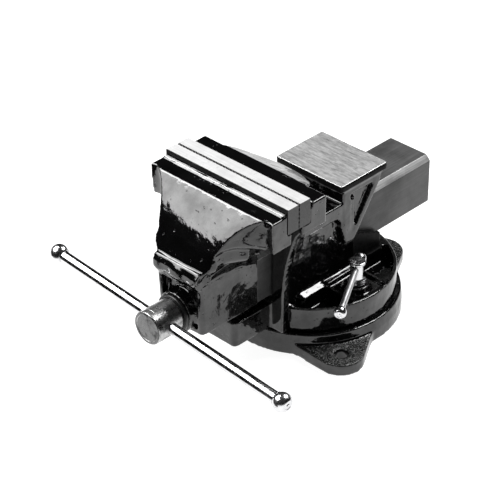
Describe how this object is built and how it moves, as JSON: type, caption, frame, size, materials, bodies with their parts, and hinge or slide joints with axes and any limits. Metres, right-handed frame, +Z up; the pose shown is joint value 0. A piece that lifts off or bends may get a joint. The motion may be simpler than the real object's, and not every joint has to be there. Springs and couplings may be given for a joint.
{
  "type": "bench vise",
  "caption": "Swivel-base bench vise with a sliding front jaw driven by a screw and tommy bar, a small anvil, and two swivel locks.",
  "frame": {"origin": "the swivel axis on the underside of the base, where it sits on the bench", "axes": "+Z up along the swivel axis, +X along the jaws to the right, +Y from the jaws towards the back end of the slide bar"},
  "size_m": [0.2962, 0.3504, 0.186],
  "materials": {
    "black_enamel": "thick gloss black enamel over rough castings, bare machined iron on the slide bar",
    "ground_steel": "hardened and ground",
    "turned_steel": "turned, lightly oiled",
    "bright_zinc": "bright zinc plate",
    "dark_steel": "black oxide",
    "cast_nut": "bare casting"
  },
  "bodies": {
    "base": {"swivel_base": "black_enamel"},
    "fixed": {"fixed_body": "black_enamel", "rear_jaw_plate": "ground_steel", "rear_plate_screws": "dark_steel", "spindle_nut": "cast_nut", "nut_bolt": "dark_steel", "nut_bolt_washer": "bright_zinc", "t_nut_right": "dark_steel", "t_nut_left": "dark_steel", "lock_washer_right": "bright_zinc", "lock_washer_left": "bright_zinc"},
    "movable": {"movable_jaw": "black_enamel", "front_jaw_plate": "ground_steel", "front_plate_screws": "dark_steel"},
    "spindle": {"spindle": "turned_steel", "thrust_washer": "turned_steel", "retaining_collar": "turned_steel", "collar_pin": "dark_steel"},
    "handle": {"handle_bar": "bright_zinc", "handle_knob_left": "bright_zinc", "handle_knob_right": "bright_zinc"},
    "lock_right": {"lock_screw_right": "bright_zinc"},
    "bar_right": {"lock_bar_right": "bright_zinc", "lock_bar_knob_outer_right": "bright_zinc", "lock_bar_knob_inner_right": "bright_zinc"},
    "lock_left": {"lock_screw_left": "bright_zinc"},
    "bar_left": {"lock_bar_left": "bright_zinc", "lock_bar_knob_outer_left": "bright_zinc", "lock_bar_knob_inner_left": "bright_zinc"}
  },
  "joints": [
    {"name": "swivel", "type": "hinge", "parent": "base", "child": "fixed", "pos_m": [0, 0, 0], "axis": [0, 0, 1], "continuous": true},
    {"name": "jaw_slide", "type": "slide", "parent": "fixed", "child": "movable", "axis": [0, -1, 0], "range_m": [0, 0.15]},
    {"name": "spindle_turn", "type": "hinge", "parent": "movable", "child": "spindle", "pos_m": [0, -0.15, 0.077], "axis": [0, -1, 0], "range_deg": [0, 10800.1]},
    {"name": "handle_slide", "type": "slide", "parent": "spindle", "child": "handle", "axis": [0.9971, 0, -0.0767], "range_m": [-0.124, 0.11]},
    {"name": "lock_turn_right", "type": "hinge", "parent": "fixed", "child": "lock_right", "pos_m": [0.0588, 0, 0.05], "axis": [0, 0, 1], "range_deg": [-30, 150]},
    {"name": "lock_turn_left", "type": "hinge", "parent": "fixed", "child": "lock_left", "pos_m": [-0.0588, 0, 0.05], "axis": [0, 0, 1], "range_deg": [-150, 30]},
    {"name": "bar_slide_right", "type": "slide", "parent": "lock_right", "child": "bar_right", "axis": [0.5, -0.866, 0], "range_m": [-0.004, 0.0025]},
    {"name": "bar_slide_left", "type": "slide", "parent": "lock_left", "child": "bar_left", "axis": [-0.5, -0.866, 0], "range_m": [-0.004, 0.0025]}
  ],
  "couplings": [
    {"joint": "spindle_turn", "follows": "jaw_slide", "rad_per_m": 1256.6}
  ]
}
